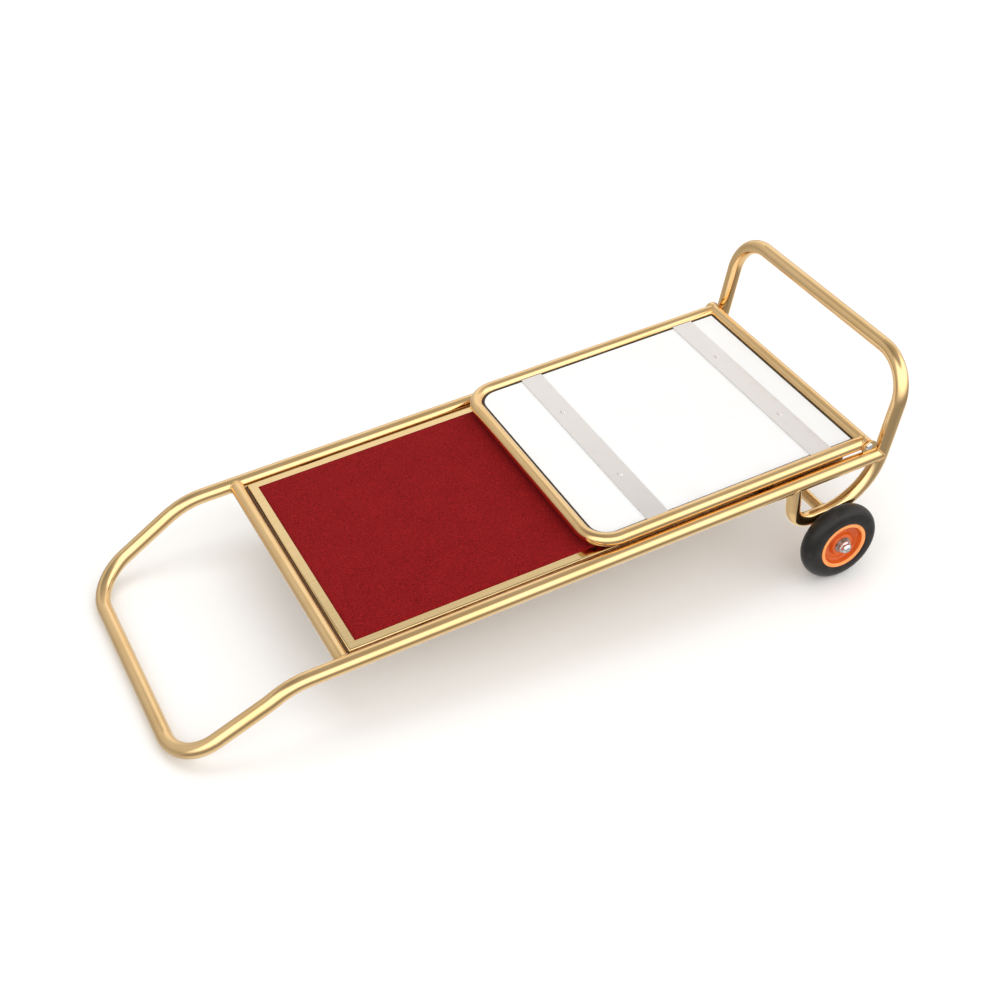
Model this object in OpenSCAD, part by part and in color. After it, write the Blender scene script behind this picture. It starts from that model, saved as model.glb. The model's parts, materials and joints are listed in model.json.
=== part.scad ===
// Folding bellman's hand truck, lying on its back with the load platform folded flat.
// The cart is laid out along its two rails, then tipped by the small pitch that it takes
// when the tyres and the handle bar both touch the floor. X runs from handle to toe.

/* [Main frame] */
// Distance between the centre lines of the two rails
rail_spacing = 474; // [395:1:570]
// Outside diameter of the rail and handle tube
rail_d = 25; // [20:0.5:32]
// Wall thickness of every tube
tube_wall = 1.5; // [1:0.1:2.5]
// Length of the rails from the toe loop to the bend of the handle
rail_len = 1036; // [840:1:1260]
// Angle that the handle drops below the rails
handle_drop = 26; // [15:1:40]
// Length of the handle from its bend to the middle of its end bar
handle_len = 202; // [170:1:300]
// Angle that each side of the handle leans inwards
handle_taper = 5.5; // [1:0.5:9]
// Centre-line radius of the handle's bend
handle_bend_r = 120; // [60:1:160]
// Centre-line radius of the handle's corners
handle_corner_r = 74; // [40:1:90]
// Diameter of the cross bar
bar_d = 22; // [16:0.5:24]
// Distance from the bend of the handle back to the cross bar
bar_to_bend = 84; // [60:1:140]

/* [Toe loop] */
// Angle that the toe loop leans away from the rails
loop_lean = 15; // [5:1:25]
// Height of the toe loop above the rails, along its lean
loop_height = 162; // [130:1:240]
// Centre-line radius of the toe loop's upper corners
loop_corner_r = 70; // [40:1:90]
// Depth of the heel run below the rails
heel_depth = 83; // [70:1:110]
// Distance from the toe back to the upturned end of the heel
heel_back = 169; // [165:1:230]
// Centre-line radius of the heel's large bend
heel_bend_r = 110; // [60:1:115]
// Centre-line radius of the bend at the upturned end
heel_return_r = 37; // [26:1:45]
// Diameter of the cross tube between the two heels
heel_tube_d = 19; // [14:0.5:22]
// Distance from the toe back to the heel cross tube
heel_tube_back = 105; // [95:1:125]

/* [Wheels] */
// Tyre diameter
tyre_d = 140; // [120:1:180]
// Tyre width
tyre_w = 36; // [26:1:44]
// Diameter of the rim's outer lip
rim_d = 86; // [70:1:96]
// Distance from the toe back to the axle
axle_back = 99; // [85:1:115]
// Distance of the axle below the rails
axle_drop = 121; // [112:1:150]
// Axle bolt diameter
axle_d = 10; // [8:0.5:14]
// Gap between the heel tube and the tyre
wheel_gap = 4.5; // [3:0.5:12]

/* [Folding platform] */
// Length from the hinge to the middle of the end tube
platform_len = 500; // [400:1:600]
// Diameter of the platform's tube
platform_d = 22; // [18:0.5:24]
// Distance of each platform tube in from its rail
platform_inset = 13; // [12:0.5:22]
// Centre-line radius of the two corners at the free end
platform_corner_r = 46; // [32:1:80]
// Distance of the hinge pin back from the toe
hinge_back = 27; // [26:0.5:34]
// Gap between the hinge tube and the rails under it
hinge_gap = 0.5; // [0.3:0.1:2]
// Thickness of the platform board
platform_board_t = 12; // [8:0.5:14]
// Height of the board's outer face over the tubes' middle
platform_board_up = 2; // [0:0.5:4]
// Hinge pin diameter
hinge_pin_d = 8; // [6:0.5:10]
// Width of the flat straps
strap_w = 38; // [25:1:50]
// Thickness of the flat straps
strap_t = 2; // [1.5:0.5:4]
// Distance from the hinge to the strap nearest to it
strap_near = 76; // [60:1:110]
// Distance from the hinge to the far strap
strap_far = 382; // [300:1:390]
// Sideways distance of each rivet from the middle
rivet_out = 96; // [60:1:120]

/* [Back panel] */
// Gap between the panel's trim and each rail
panel_side_gap = 5.5; // [3:0.5:15]
// Gap between the panel's trim and the cross bar
panel_end_gap = 4; // [2:0.5:15]
// Distance from the toe back to the lower edge of the panel
panel_foot = 62; // [55:1:120]
// Thickness of the panel board
panel_t = 9; // [6:0.5:12]
// Height of the trim's face over the rails' middle
panel_up = 5; // [3:0.5:6]
// Width of the trim's face
trim_w = 15; // [10:0.5:25]
// Thickness of the trim
trim_t = 1.5; // [1:0.1:2.5]
// Height of the carpet over the trim
carpet_proud = 2.5; // [1:0.5:2.5]

/* [Hidden] */
$fn = 64;

gold = [0.83, 0.66, 0.38];
steel = [0.78, 0.78, 0.79];
rail_r = rail_d / 2;
rail_y = rail_spacing / 2;
rest_gap = 0.5;      // folded platform over the back carpet
edge_gap = 0.5;      // board edges to the tubes round them
butt = 4;            // how far short of the next tube's axis a coped tube stops
lap = 0.5;           // how far a straight tube laps over a bend
bend_thinning = 0.1; // how much a tube's diameter draws down in a bend

// Handle, measured along its slope from the bend
taper_bend_r = 200;
taper_start = 4;
bend_run = handle_bend_r * tan(handle_drop / 2);
taper_s = bend_run + taper_start + taper_bend_r * sin(handle_taper);
taper_y = rail_y - taper_bend_r * (1 - cos(handle_taper));
leg_run = (handle_len - taper_s - handle_corner_r * (1 - sin(handle_taper))) / cos(handle_taper);
grip_half = taper_y - leg_run * sin(handle_taper) - handle_corner_r * cos(handle_taper);
grip_x = -rail_len - handle_len * cos(handle_drop);
grip_z = -handle_len * sin(handle_drop);

// Toe loop and heel
heel_top_z = heel_bend_r * (1 - sin(loop_lean)) - heel_depth;
heel_run = heel_top_z * tan(loop_lean) - heel_bend_r * cos(loop_lean) + heel_back - heel_return_r;
leg_start = heel_top_z / cos(loop_lean);
loop_leg = loop_height - loop_corner_r - leg_start;
cope_angle = 30;     // the part of the heel's bend that the rail's end can reach
loop_bar_x = loop_height * sin(loop_lean);
loop_bar_z = loop_height * cos(loop_lean);

// Platform and hinge
platform_r = platform_d / 2;
hinge_x = -hinge_back;
hinge_z = rail_r + hinge_gap + platform_r;
platform_y = rail_y - platform_inset;
hinge_half = platform_y + platform_r;
ear_gap = 0.5;
ear_t = 3;
ear_r = 14.5;
ear_x = hinge_x + 3;
ear_z = hinge_z - 6;
bush_len = 15;
pin_fit = 0.03;
board_y = platform_y - platform_r - edge_gap;
board_x0 = -platform_len + platform_r + edge_gap;
board_x1 = -platform_r - edge_gap;
board_corner_r = platform_corner_r - platform_r - edge_gap;
board_top = platform_board_up;
board_low = platform_board_up - platform_board_t;
strap_x = [-strap_near, -strap_far];

// Cross bar and back panel
bar_x = bar_to_bend - rail_len;
panel_y = rail_y - rail_r - panel_side_gap;
panel_x0 = bar_x + bar_d / 2 + panel_end_gap;
panel_x1 = -panel_foot;
board_face = panel_up - trim_t;
board_back = board_face - panel_t;
carpet_top = panel_up + carpet_proud;
carpet_gap = 0.2;
rivet_d = 5;
rivet_head_d = 9.5;
rivet_head_t = 1.2;
back_strap_x = [panel_x0 + 120, -heel_back - rail_r - strap_w / 2 - 12];
platform_carpet_t = board_low + hinge_z - carpet_top - rest_gap;

// Wheels: rim, then hub, bearing and axle stack as distances out from the middle
rim_r = rim_d / 2;
seat_r = rim_r - 3;
rim_half = tyre_w / 2 - 0.5;
lip_w = 4;
wheel_y = rail_y + rail_r + wheel_gap + tyre_w / 2;
hub_half = tyre_w / 2 + 0.5;
hub_in = wheel_y - hub_half;
hub_out = wheel_y + hub_half;
bracket_t = 5;
bracket_out = rail_y + rail_r - 1.5;
bracket_in = bracket_out - bracket_t;
side_play = 0.3;
washer_t = 1.5;
nut_t = 8;
head_t = 8;
bearing_d = 28;

// Pitch that brings the tyres and the handle bar down to one level floor
drop_x = -axle_back - grip_x;
drop_z = -axle_drop - grip_z;
drop_r = tyre_d / 2 - rail_r;
pitch = asin(drop_r / norm([drop_x, drop_z])) + atan2(-drop_z, drop_x);
function tipped_x(x, z) = x * cos(pitch) - z * sin(pitch);
function tipped_z(x, z) = x * sin(pitch) + z * cos(pitch);
shift_z = tyre_d / 2 - tipped_z(-axle_back, -axle_drop);
x_low = tipped_x(grip_x, grip_z) - rail_r;
x_high = tipped_x(loop_bar_x, loop_bar_z) + rail_r;
shift_x = -(x_low + x_high) / 2;

// Puts a piece drawn along the rails into the cart's resting place
module at_rest() {
  translate([shift_x, 0, shift_z]) rotate([0, -pitch, 0]) children();
}

// Left is +Y and right is -Y: draws a left-hand piece on the side asked for
module on_side(side) {
  if (side == "left") children();
  else mirror([0, 1, 0]) children();
}

module both_sides() {
  children();
  mirror([0, 1, 0]) children();
}

// A straight length of tube along +Z, lapped over the bends at its ends
module run(length, d) {
  translate([0, 0, -lap]) cylinder(h = length + 2 * lap, d = d);
  translate([0, 0, length]) children();
}

// A bend towards +X, drawn a hair thinner than the tube; its children carry on from its end
module bend(r, angle, d) {
  translate([r, 0, 0]) rotate([90, 0, 180]) rotate_extrude(angle = angle)
    translate([r, 0]) circle(d = d - bend_thinning);
  translate([r, 0, 0]) rotate([0, angle, 0]) translate([-r, 0, 0]) children();
}

// A round bar across the cart
module across(d, half) {
  rotate([90, 0, 0]) cylinder(h = 2 * half, d = d, center = true);
}

// A round bar that points out to the left, between two distances from the middle
module outward(y0, y1, d) {
  translate([0, y0, 0]) rotate([-90, 0, 0]) cylinder(h = y1 - y0, d = d);
}

// One rail with its side of the handle, on the left
module rail_side(d) {
  translate([-butt, rail_y, 0]) rotate([0, -90, 0]) rotate([0, 0, 180])
    run(rail_len - butt - bend_run, d) bend(handle_bend_r, handle_drop, d) rotate([0, 0, 90])
      run(taper_start, d) bend(taper_bend_r, handle_taper, d) run(leg_run, d)
        bend(handle_corner_r, 90 - handle_taper, d);
}

module rail_route(d) {
  both_sides() rail_side(d);
  translate([grip_x, 0, grip_z]) across(d, grip_half + lap);
}

// One side of the toe loop with its heel, on the left
module loop_side(d) {
  translate([-heel_back, rail_y, -butt]) rotate([180, 0, 0])
    run(heel_depth - heel_return_r - butt, d) bend(heel_return_r, 90, d) run(heel_run, d)
      bend(heel_bend_r, 90 - loop_lean, d) run(loop_leg, d) rotate([0, 0, 90])
        bend(loop_corner_r, 90, d);
}

module loop_route(d) {
  both_sides() loop_side(d);
  translate([loop_bar_x, 0, loop_bar_z]) across(d, rail_y - loop_corner_r + lap);
}

// The rails alone between two distances from the toe, for coping what is welded to them
module rail_stock(x0, x1) {
  for (side = [-1, 1])
    translate([-x1, side * rail_y, 0]) rotate([0, 90, 0]) cylinder(h = x1 - x0, d = rail_d);
}

// The toe loop's legs and the bends under them alone, for coping the ends of the rails
module leg_stock() {
  both_sides() translate([0, rail_y, 0]) rotate([0, loop_lean, 0]) translate([0, 0, leg_start]) {
    translate([0, 0, -lap]) cylinder(h = loop_corner_r, d = rail_d);
    rotate([0, 180, 0]) bend(heel_bend_r, cope_angle, rail_d);
  }
}

module main_frame() {
  color(gold) at_rest() difference() {
    rail_route(rail_d);
    rail_route(rail_d - 2 * tube_wall);
    leg_stock();
  }
}

module toe_loop() {
  color(gold) at_rest() difference() {
    loop_route(rail_d);
    loop_route(rail_d - 2 * tube_wall);
    rail_stock(heel_back - rail_d, heel_back + rail_d);
  }
}

module cross_bar() {
  color(gold) at_rest() difference() {
    translate([bar_x, 0, 0]) across(bar_d, rail_y - butt);
    translate([bar_x, 0, 0]) across(bar_d - 2 * tube_wall, rail_y);
    rail_stock(-bar_x - bar_d, bar_d - bar_x);
  }
}

module heel_tube() {
  color(gold) at_rest() difference() {
    translate([-heel_tube_back, 0, -heel_depth]) across(heel_tube_d, rail_y - butt);
    translate([-heel_tube_back, 0, -heel_depth]) across(heel_tube_d - 2 * tube_wall, rail_y);
    both_sides() loop_side(rail_d);
  }
}

// A flat strap behind the back panel, coped to both rails
module back_strap(x) {
  color(steel) at_rest() difference() {
    translate([x - strap_w / 2, -rail_y, board_back - strap_t]) cube([strap_w, rail_spacing, strap_t]);
    rail_stock(-x - strap_w, strap_w - x);
    for (y = [-rivet_out, rivet_out])
      translate([x, y, board_back - strap_t - 1]) cylinder(h = strap_t + 2, d = rivet_d);
  }
}

module back_panel() {
  color([0.62, 0.5, 0.36]) at_rest() difference() {
    translate([panel_x0 + trim_t, trim_t - panel_y, board_back])
      cube([panel_x1 - panel_x0 - 2 * trim_t, 2 * (panel_y - trim_t), panel_t]);
    for (x = back_strap_x, y = [-rivet_out, rivet_out])
      translate([x, y, board_back - 1]) cylinder(h = panel_t + 2, d = rivet_d);
  }
}

// The trim is an angle round the board: a flat face with a lip down the board's edge
module back_trim() {
  color(gold) at_rest() difference() {
    translate([panel_x0, -panel_y, board_back]) cube([panel_x1 - panel_x0, 2 * panel_y, panel_t + trim_t]);
    translate([panel_x0 + trim_t, trim_t - panel_y, board_back - 1])
      cube([panel_x1 - panel_x0 - 2 * trim_t, 2 * (panel_y - trim_t), panel_t + 1]);
    translate([panel_x0 + trim_w, trim_w - panel_y, board_back])
      cube([panel_x1 - panel_x0 - 2 * trim_w, 2 * (panel_y - trim_w), panel_t + trim_t + 1]);
  }
}

module back_carpet() {
  inset = trim_w + carpet_gap;
  color([0.55, 0.1, 0.11]) at_rest()
    translate([panel_x0 + inset, inset - panel_y, board_face])
      cube([panel_x1 - panel_x0 - 2 * inset, 2 * (panel_y - inset), carpet_top - board_face]);
}

// A rivet through a strap into a board: the head lies on the strap, below Z = 0
module rivet(grip) {
  translate([0, 0, -rivet_head_t]) cylinder(h = rivet_head_t, d1 = rivet_head_d * 0.7, d2 = rivet_head_d);
  cylinder(h = grip, d = rivet_d);
}

module back_rivets() {
  color(steel) at_rest() for (x = back_strap_x, y = [-rivet_out, rivet_out])
    translate([x, y, board_back - strap_t]) rivet(strap_t + panel_t);
}

// A plate under the heel that carries the axle bolt
module axle_bracket(side) {
  top_half = 24;
  boss_r = 15;
  color(gold) at_rest() on_side(side) difference() {
    union() {
      translate([-axle_back, bracket_out, 0]) rotate([90, 0, 0]) linear_extrude(bracket_t)
        polygon([[-top_half, -heel_depth], [top_half, -heel_depth], [boss_r - 1, -axle_drop],
                 [1 - boss_r, -axle_drop]]);
      translate([-axle_back, 0, -axle_drop]) outward(bracket_in, bracket_out, 2 * boss_r);
    }
    loop_side(rail_d);
    translate([-axle_back, 0, -axle_drop]) outward(bracket_in - 1, bracket_out + 1, axle_d);
  }
}

// Everything on the axle is drawn round it
module on_axle(side) {
  at_rest() on_side(side) translate([-axle_back, 0, -axle_drop]) children();
}

module axle_bolt(side) {
  head_in = hub_out + side_play + washer_t;
  color([0.86, 0.87, 0.88]) on_axle(side) {
    outward(bracket_in - nut_t - 2, head_in, axle_d);
    translate([0, head_in, 0]) rotate([-90, 0, 0]) cylinder(h = head_t - 3, d = 19, $fn = 6);
    translate([0, head_in + head_t - 3, 0]) rotate([-90, 0, 0]) cylinder(h = 3, d1 = 15.5, d2 = 10);
  }
}

module axle_nut(side) {
  color([0.86, 0.87, 0.88]) on_axle(side) difference() {
    translate([0, bracket_in - nut_t, 0]) rotate([-90, 0, 0]) cylinder(h = nut_t, d = 19, $fn = 6);
    outward(bracket_in - nut_t - 1, bracket_in + 1, axle_d);
  }
}

module axle_spacer(side) {
  color(steel) on_axle(side) difference() {
    outward(bracket_out, hub_in - side_play, axle_d + 8);
    outward(bracket_out - 1, hub_in + 1, axle_d);
  }
}

module axle_washer(side) {
  color(steel) on_axle(side) difference() {
    outward(hub_out + side_play, hub_out + side_play + washer_t, axle_d + 12);
    outward(hub_out, hub_out + side_play + washer_t + 1, axle_d);
  }
}

// A ring about the axle whose section is given as radius and distance from the wheel's middle
module ring_about_axle(side) {
  on_axle(side) translate([0, wheel_y, 0]) rotate([-90, 0, 0]) rotate_extrude() children();
}

// Half of a round shoulder as points, from the side wall to the tread
function shoulder(r, half, side) = [for (a = side > 0 ? [0:15:90] : [90:-15:0])
  [tyre_d / 2 - r + r * sin(a), side * (half - r + r * cos(a))]];

module tyre(side) {
  shoulder_r = 13;
  groove_w = 1.2;
  wall_half = rim_half - 0.5;
  color([0.13, 0.12, 0.12]) difference() {
    ring_about_axle(side)
      polygon(concat([[seat_r, lip_w - rim_half], [seat_r, rim_half - lip_w], [rim_r, rim_half - lip_w],
                      [rim_r, wall_half], [rim_r + 6, tyre_w / 2]],
                     shoulder(shoulder_r, tyre_w / 2, 1), shoulder(shoulder_r, tyre_w / 2, -1),
                     [[rim_r + 6, -tyre_w / 2], [rim_r, -wall_half], [rim_r, lip_w - rim_half]]));
    for (groove = [-4, 0, 4])
      ring_about_axle(side) translate([tyre_d / 2 - groove_w, groove - groove_w / 2])
        square([2 * groove_w, groove_w]);
  }
}

// The rim is a plastic moulding: two lips, a web and a boss round the bearing
module rim(side) {
  boss_r = bearing_d / 2 + 5;
  lip_in = rim_r - 6;
  web_half = 6;
  boss_half = rim_half - 5;
  draft = 3;
  color([0.95, 0.45, 0.12]) ring_about_axle(side)
    polygon([[lip_in, -rim_half], [rim_r, -rim_half], [rim_r, lip_w - rim_half], [seat_r, lip_w - rim_half],
             [seat_r, rim_half - lip_w], [rim_r, rim_half - lip_w], [rim_r, rim_half], [lip_in, rim_half],
             [lip_in - draft, web_half], [boss_r + draft, web_half], [boss_r, boss_half],
             [bearing_d / 2, boss_half], [bearing_d / 2, -boss_half], [boss_r, -boss_half],
             [boss_r + draft, -web_half], [lip_in - draft, -web_half]]);
}

// The bearing's outer race sits in the rim's boss and its sleeve runs on the axle bolt
module bearing(side) {
  race_half = rim_half - 4;
  sleeve_r = axle_d / 2 + 4;
  bore_r = axle_d / 2 + pin_fit;
  color([0.7, 0.66, 0.65]) ring_about_axle(side)
    polygon([[bore_r, -hub_half], [sleeve_r, -hub_half], [sleeve_r, -race_half], [bearing_d / 2, -race_half],
             [bearing_d / 2, race_half], [sleeve_r, race_half], [sleeve_r, hub_half], [bore_r, hub_half]]);
}

// Everything on the platform is drawn round the hinge pin
module on_hinge() {
  at_rest() translate([hinge_x, 0, hinge_z]) children();
}

// One side of the platform's frame with half of its end tube, on the left
module platform_route(d) {
  translate([-butt, platform_y, 0]) rotate([0, -90, 0]) rotate([0, 0, -90])
    run(platform_len - butt - platform_corner_r, d) bend(platform_corner_r, 90, d)
      run(platform_y - platform_corner_r, d);
}

module platform_frame() {
  color(gold) on_hinge() difference() {
    both_sides() platform_route(platform_d);
    both_sides() platform_route(platform_d - 2 * tube_wall);
    across(platform_d, hinge_half + 1);
  }
}

module hinge_tube() {
  color(gold) on_hinge() difference() {
    across(platform_d, hinge_half);
    across(platform_d - 2 * tube_wall, hinge_half + 1);
  }
}

module hinge_bush(side) {
  color([0.1, 0.1, 0.1]) on_hinge() on_side(side) difference() {
    outward(hinge_half - bush_len, hinge_half, platform_d - 2 * tube_wall);
    outward(hinge_half - bush_len - 1, hinge_half + 1, hinge_pin_d + 2 * pin_fit);
  }
}

// The outline of the board inside the tubes, with round corners at its free end
module board_outline(inset) {
  r = board_corner_r;
  half = board_y - inset;
  x0 = board_x0 + inset;
  x1 = board_x1 - inset;
  union() {
    translate([x0 + r, -half]) square([x1 - x0 - r, 2 * half]);
    translate([x0, -half + r]) square([r + 1, 2 * (half - r)]);
    for (y = [-1, 1])
      translate([x0 + r, y * (half - r)]) circle(r = r);
  }
}

module platform_board() {
  color([0.95, 0.95, 0.95]) on_hinge() difference() {
    translate([0, 0, board_low]) linear_extrude(platform_board_t) board_outline(0);
    for (x = strap_x, y = [-rivet_out, rivet_out])
      translate([x, y, board_low - 1]) cylinder(h = platform_board_t + 2, d = rivet_d);
  }
}

module platform_carpet() {
  color([0.55, 0.1, 0.11]) on_hinge()
    translate([0, 0, board_low - platform_carpet_t]) linear_extrude(platform_carpet_t) board_outline(2);
}

// A flat strap across the outer face of the board, coped to both side tubes
module platform_strap(x) {
  color(steel) on_hinge() difference() {
    translate([x - strap_w / 2, -platform_y, board_top]) cube([strap_w, 2 * platform_y, strap_t]);
    for (side = [-1, 1])
      translate([0, side * platform_y, 0]) rotate([0, -90, 0]) cylinder(h = platform_len, d = platform_d);
    for (y = [-rivet_out, rivet_out])
      translate([x, y, board_top - 1]) cylinder(h = strap_t + 2, d = rivet_d);
  }
}

module platform_rivets() {
  color(steel) on_hinge() for (x = strap_x, y = [-rivet_out, rivet_out])
    translate([x, y, board_top + strap_t]) mirror([0, 0, 1]) rivet(strap_t + platform_board_t);
}

// A round ear that stands on the rail beside the end of the hinge tube
module hinge_ear(side) {
  ear_in = hinge_half + ear_gap;
  color(gold) at_rest() on_side(side) difference() {
    translate([ear_x, 0, ear_z]) outward(ear_in, ear_in + ear_t, 2 * ear_r);
    rail_stock(0, 3 * ear_r);
    leg_stock();
    translate([hinge_x, 0, hinge_z]) outward(ear_in - 1, ear_in + ear_t + 1, hinge_pin_d);
  }
}

module hinge_pin(side) {
  ear_out = hinge_half + ear_gap + ear_t;
  color([0.86, 0.87, 0.88]) on_hinge() on_side(side) {
    outward(hinge_half - bush_len, ear_out, hinge_pin_d);
    translate([0, ear_out, 0]) rotate([-90, 0, 0]) cylinder(h = 2, d = 13);
    translate([0, ear_out + 2, 0]) rotate([-90, 0, 0]) cylinder(h = 1.5, d1 = 13, d2 = 9);
  }
}

main_frame();
cross_bar();
back_strap(back_strap_x[0]);  // back_strap_upper
back_strap(back_strap_x[1]);  // back_strap_lower
back_panel();
back_trim();
back_carpet();
back_rivets();
toe_loop();
heel_tube();
axle_bracket("left");  // axle_bracket_left
axle_bracket("right");  // axle_bracket_right
axle_bolt("left");  // axle_bolt_left
axle_bolt("right");  // axle_bolt_right
axle_nut("left");  // axle_nut_left
axle_nut("right");  // axle_nut_right
axle_spacer("left");  // axle_spacer_left
axle_spacer("right");  // axle_spacer_right
axle_washer("left");  // axle_washer_left
axle_washer("right");  // axle_washer_right
hinge_ear("left");  // hinge_ear_left
hinge_ear("right");  // hinge_ear_right
hinge_pin("left");  // hinge_pin_left
hinge_pin("right");  // hinge_pin_right
tyre("left");  // tyre_left
tyre("right");  // tyre_right
rim("left");  // rim_left
rim("right");  // rim_right
bearing("left");  // bearing_left
bearing("right");  // bearing_right
platform_frame();
hinge_tube();
platform_board();
platform_carpet();
platform_strap(strap_x[0]);  // platform_strap_inner
platform_strap(strap_x[1]);  // platform_strap_outer
platform_rivets();
hinge_bush("left");  // hinge_bush_left
hinge_bush("right");  // hinge_bush_right
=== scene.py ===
"""The looks of a folding luggage cart that lies on its back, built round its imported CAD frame."""

import json
import logging
import math
from collections.abc import Iterator, Mapping, Sequence
from contextlib import contextmanager
from dataclasses import dataclass, field, replace
from enum import Enum
from typing import Any

import bmesh
import bpy
from mathutils import Matrix, Vector, noise


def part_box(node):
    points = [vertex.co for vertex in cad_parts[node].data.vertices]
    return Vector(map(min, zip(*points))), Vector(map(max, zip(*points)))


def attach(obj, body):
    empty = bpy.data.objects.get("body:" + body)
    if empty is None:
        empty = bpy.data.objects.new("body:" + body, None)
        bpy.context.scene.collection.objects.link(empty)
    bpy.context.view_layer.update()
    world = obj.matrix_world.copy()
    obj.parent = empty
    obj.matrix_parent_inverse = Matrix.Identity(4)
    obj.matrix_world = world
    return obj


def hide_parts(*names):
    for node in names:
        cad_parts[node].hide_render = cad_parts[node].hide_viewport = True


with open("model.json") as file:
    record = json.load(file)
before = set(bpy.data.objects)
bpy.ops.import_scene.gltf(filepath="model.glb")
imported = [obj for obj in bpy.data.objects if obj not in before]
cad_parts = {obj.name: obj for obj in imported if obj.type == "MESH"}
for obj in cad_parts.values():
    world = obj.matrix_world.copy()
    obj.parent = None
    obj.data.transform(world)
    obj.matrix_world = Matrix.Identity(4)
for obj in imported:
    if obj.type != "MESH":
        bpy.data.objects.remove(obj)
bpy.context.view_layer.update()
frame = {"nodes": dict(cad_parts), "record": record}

log = logging.getLogger("luggage_cart")

MM = 0.001
SAME_PLACE = 1e-7  # metres within which two points are one

Point = tuple[float, float, float]
Colour = tuple[float, float, float]
Outline = list[tuple[float, float]]
Levels = tuple[tuple[float, float], ...]

EVEN: Point = (1.0, 1.0, 1.0)


class Side(Enum):
    """The two sides of the cart, with the sign of their Y."""

    LEFT = 1
    RIGHT = -1

    @property
    def word(self) -> str:
        """The side's name as it ends a node's name."""
        return self.name.lower()


# Shader graph


class Value:
    """A socket of a shader graph that carries a number and takes part in arithmetic."""

    def __init__(self, graph: "Graph", socket: bpy.types.NodeSocket) -> None:
        """Wrap a socket.

        Args:
            graph: The graph that the socket belongs to.
            socket: An output socket that carries a number.
        """
        self.graph = graph
        self.socket = socket

    def _math(self, operation: str, first: Any, second: Any) -> "Value":
        """Add a Math node.

        Args:
            operation: The Math node's operation.
            first: The first operand, a Value or a number.
            second: The second operand, a Value or a number.

        Returns:
            The node's result.
        """
        node = self.graph.node("ShaderNodeMath", {"operation": operation}, {0: first, 1: second})
        return Value(self.graph, node.outputs[0])

    def __add__(self, other: Any) -> "Value":
        """Value plus other."""
        return self._math("ADD", self, other)

    __radd__ = __add__

    def __sub__(self, other: Any) -> "Value":
        """Value minus other."""
        return self._math("SUBTRACT", self, other)

    def __rsub__(self, other: Any) -> "Value":
        """Other minus value."""
        return self._math("SUBTRACT", other, self)

    def __mul__(self, other: Any) -> "Value":
        """Value times other."""
        return self._math("MULTIPLY", self, other)

    __rmul__ = __mul__

    def ramp(self, low: float, high: float) -> "Value":
        """A smooth rise from 0 where the value is low to 1 where it is high.

        Args:
            low: The value that gives 0.
            high: The value that gives 1.

        Returns:
            The smoothed and clamped result.
        """
        node = self.graph.node(
            "ShaderNodeMapRange",
            {"interpolation_type": "SMOOTHSTEP", "clamp": True},
            {"Value": self, "From Min": low, "From Max": high, "To Min": 0.0, "To Max": 1.0},
        )
        return Value(self.graph, node.outputs["Result"])


class Graph:
    """Any shader graph."""

    def __init__(self, tree: bpy.types.NodeTree) -> None:
        """Wrap a node tree.

        Args:
            tree: The material's or world's node tree.
        """
        self.tree = tree

    def node(
        self,
        kind: str,
        settings: Mapping[str, Any] | None = None,
        inputs: Mapping[Any, Any] | None = None,
    ) -> bpy.types.Node:
        """Add any node.

        Args:
            kind: The node's type.
            settings: Properties to set first; "stops" is a colour ramp's list of (position, colour).
            inputs: Socket name or number to a Value, a socket, a number or a colour.

        Returns:
            The new node.
        """
        made = self.tree.nodes.new(kind)
        for key, setting in (settings or {}).items():
            if key == "stops":
                self._set_stops(made.color_ramp, setting)
            else:
                setattr(made, key, setting)
        for key, given in (inputs or {}).items():
            self.feed(made.inputs[key], given)
        return made

    @staticmethod
    def _set_stops(ramp: bpy.types.ColorRamp, stops: Sequence[tuple[float, Colour]]) -> None:
        """Give a colour ramp its stops.

        Args:
            ramp: The ramp, which has two stops to begin with.
            stops: The position and colour of each stop, in order.
        """
        while len(ramp.elements) < len(stops):
            ramp.elements.new(0.5)
        for element, (position, colour) in zip(ramp.elements, stops):
            element.position = position
            element.color = (*colour, 1.0)

    def feed(self, socket: bpy.types.NodeSocket, given: Any) -> None:
        """Link or set one input socket.

        Args:
            socket: The input socket.
            given: A Value, an output socket, a number or a colour.
        """
        if isinstance(given, Value):
            given = given.socket
        if isinstance(given, bpy.types.NodeSocket):
            self.tree.links.new(given, socket)
        elif socket.type == "RGBA" and len(given) == 3:
            socket.default_value = (*given, 1.0)
        else:
            socket.default_value = given

    def mix(self, factor: Any, first: Any, second: Any) -> bpy.types.NodeSocket:
        """Mix two colours.

        Args:
            factor: 0 gives the first and 1 the second.
            first: A colour or colour socket.
            second: A colour or colour socket.

        Returns:
            The mixed colour's socket.
        """
        node = self.node("ShaderNodeMix", {"data_type": "RGBA"}, {0: factor, 6: first, 7: second})
        return node.outputs[2]


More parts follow.
